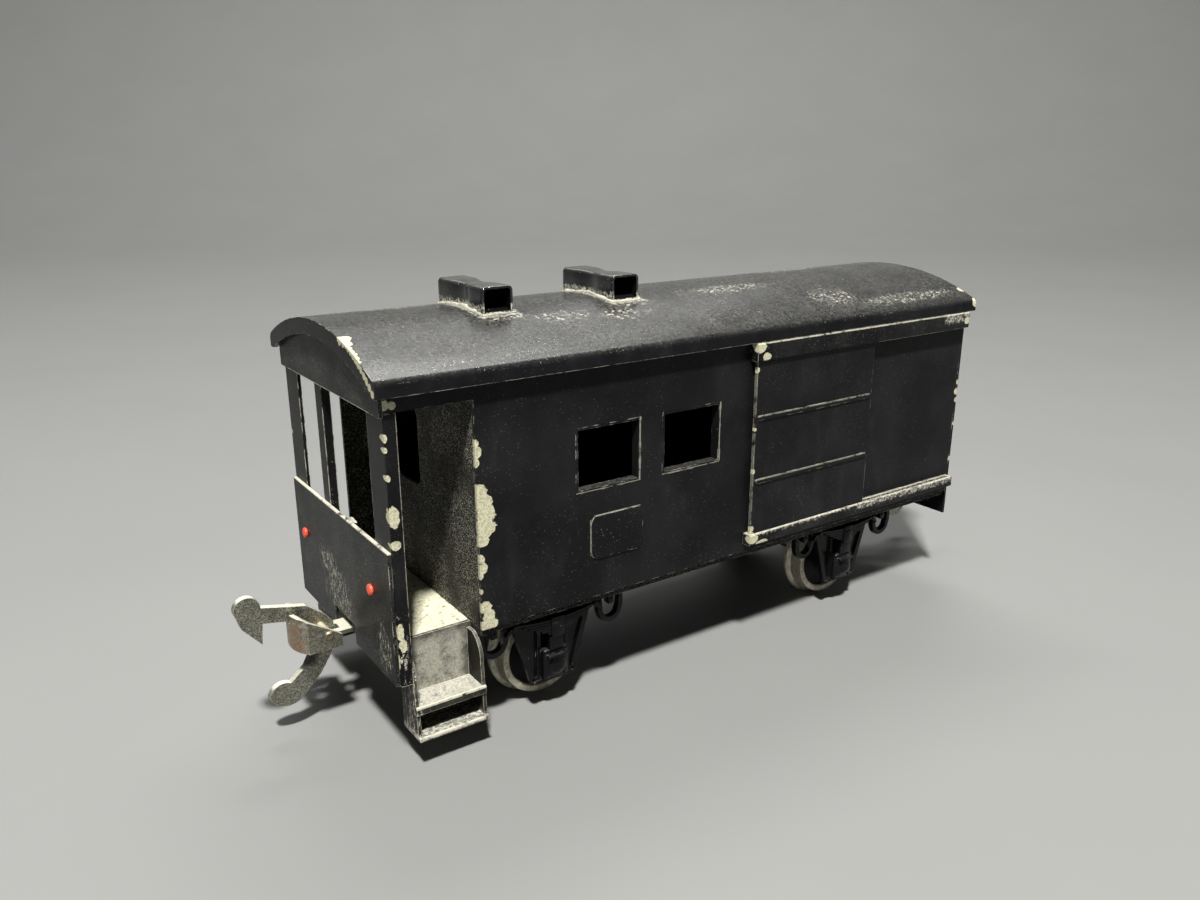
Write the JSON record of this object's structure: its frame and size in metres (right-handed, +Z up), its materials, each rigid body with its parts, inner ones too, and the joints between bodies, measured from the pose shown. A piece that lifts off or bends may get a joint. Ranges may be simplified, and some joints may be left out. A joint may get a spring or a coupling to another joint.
{
  "type": "model railway brake van",
  "caption": "Two-axle black brass model railway brake and goods van with open veranda, cabin windows, sliding goods doors, steps, roof ventilators and hook couplers.",
  "frame": {"origin": "on the surface under the wheel flanges, midway between the two coupler ends and between the sides", "axes": "+X along the van from the open veranda end towards the closed goods end, +Y towards the right side (the left side, -Y, is the one shown in the picture), +Z up"},
  "size_m": [0.1138, 0.0326, 0.0494],
  "materials": {
    "roof_paint": "semi-gloss black enamel, dusty",
    "body_paint": "satin black enamel",
    "end_paint": "satin black enamel, worn along the top edge",
    "post_paint": "satin black enamel with chips",
    "partition_paint": "thin dark enamel with brass showing through",
    "floor_paint": "worn enamel over brass, dusty",
    "door_paint": "satin black enamel",
    "rail_paint": "satin black enamel, worn",
    "step_paint": "worn black enamel over brass, dusty",
    "vent_gloss": "gloss black enamel",
    "frame_paint": "satin black enamel",
    "lamp_red": "red enamel",
    "casting_black": "gloss black enamel",
    "wheel_nickel": "turned, dull",
    "axle_steel": "turned",
    "coupler_nickel": "dull nickel plate",
    "loop_copper": "worn plate with a copper tint",
    "screw_brass": "machined"
  },
  "bodies": {
    "carriage_body": {"roof": "roof_paint", "front_ventilator": "vent_gloss", "rear_ventilator": "vent_gloss", "left_side_wall": "body_paint", "right_side_wall": "body_paint", "goods_end_wall": "body_paint", "veranda_end_plate": "end_paint", "veranda_lunette": "end_paint", "left_corner_post": "post_paint", "right_corner_post": "post_paint", "veranda_middle_post": "post_paint", "cabin_partition": "partition_paint", "floor_plate": "floor_paint", "veranda_floor": "floor_paint", "left_tail_lamp": "lamp_red", "right_tail_lamp": "lamp_red", "left_window_frame_1": "frame_paint", "left_window_frame_2": "frame_paint", "right_window_frame_1": "frame_paint", "right_window_frame_2": "frame_paint", "left_upper_rail": "rail_paint", "right_upper_rail": "rail_paint", "left_lower_rail": "rail_paint", "right_lower_rail": "rail_paint", "left_steps": "step_paint", "right_steps": "step_paint", "front_left_axle_guard": "casting_black", "front_right_axle_guard": "casting_black", "rear_left_axle_guard": "casting_black", "rear_right_axle_guard": "casting_black", "front_pivot_screw": "screw_brass", "rear_pivot_screw": "screw_brass"},
    "left_sliding_door": {"left_door": "door_paint"},
    "right_sliding_door": {"right_door": "door_paint"},
    "front_wheelset": {"front_axle": "axle_steel", "front_left_wheel": "wheel_nickel", "front_right_wheel": "wheel_nickel"},
    "front_coupler": {"front_drawbar": "loop_copper", "front_hook_pin": "screw_brass"},
    "front_coupler_hook": {"front_hook": "coupler_nickel"},
    "rear_wheelset": {"rear_axle": "axle_steel", "rear_left_wheel": "wheel_nickel", "rear_right_wheel": "wheel_nickel"},
    "rear_coupler": {"rear_drawbar": "loop_copper", "rear_hook_pin": "screw_brass"},
    "rear_coupler_hook": {"rear_hook": "coupler_nickel"}
  },
  "joints": [
    {"name": "left_door_slide", "type": "slide", "parent": "carriage_body", "child": "left_sliding_door", "axis": [1, 0, 0], "range_m": [0, 0.019]},
    {"name": "right_door_slide", "type": "slide", "parent": "carriage_body", "child": "right_sliding_door", "axis": [1, 0, 0], "range_m": [0, 0.019]},
    {"name": "front_wheelset_spin", "type": "hinge", "parent": "carriage_body", "child": "front_wheelset", "pos_m": [-0.0245, 0, 0.006], "axis": [0, 1, 0], "continuous": true},
    {"name": "front_coupler_swing", "type": "hinge", "parent": "carriage_body", "child": "front_coupler", "pos_m": [-0.03875, 0, 0.01125], "axis": [0, 0, 1], "range_deg": [-15, 15]},
    {"name": "front_hook_lift", "type": "hinge", "parent": "front_coupler", "child": "front_coupler_hook", "pos_m": [-0.04775, 0, 0.0122], "axis": [0, 1, 0], "range_deg": [0, 20]},
    {"name": "rear_wheelset_spin", "type": "hinge", "parent": "carriage_body", "child": "rear_wheelset", "pos_m": [0.0245, 0, 0.006], "axis": [0, 1, 0], "continuous": true},
    {"name": "rear_coupler_swing", "type": "hinge", "parent": "carriage_body", "child": "rear_coupler", "pos_m": [0.03875, 0, 0.01125], "axis": [0, 0, 1], "range_deg": [-15, 15]},
    {"name": "rear_hook_lift", "type": "hinge", "parent": "rear_coupler", "child": "rear_coupler_hook", "pos_m": [0.04775, 0, 0.0122], "axis": [0, -1, 0], "range_deg": [0, 20]}
  ]
}
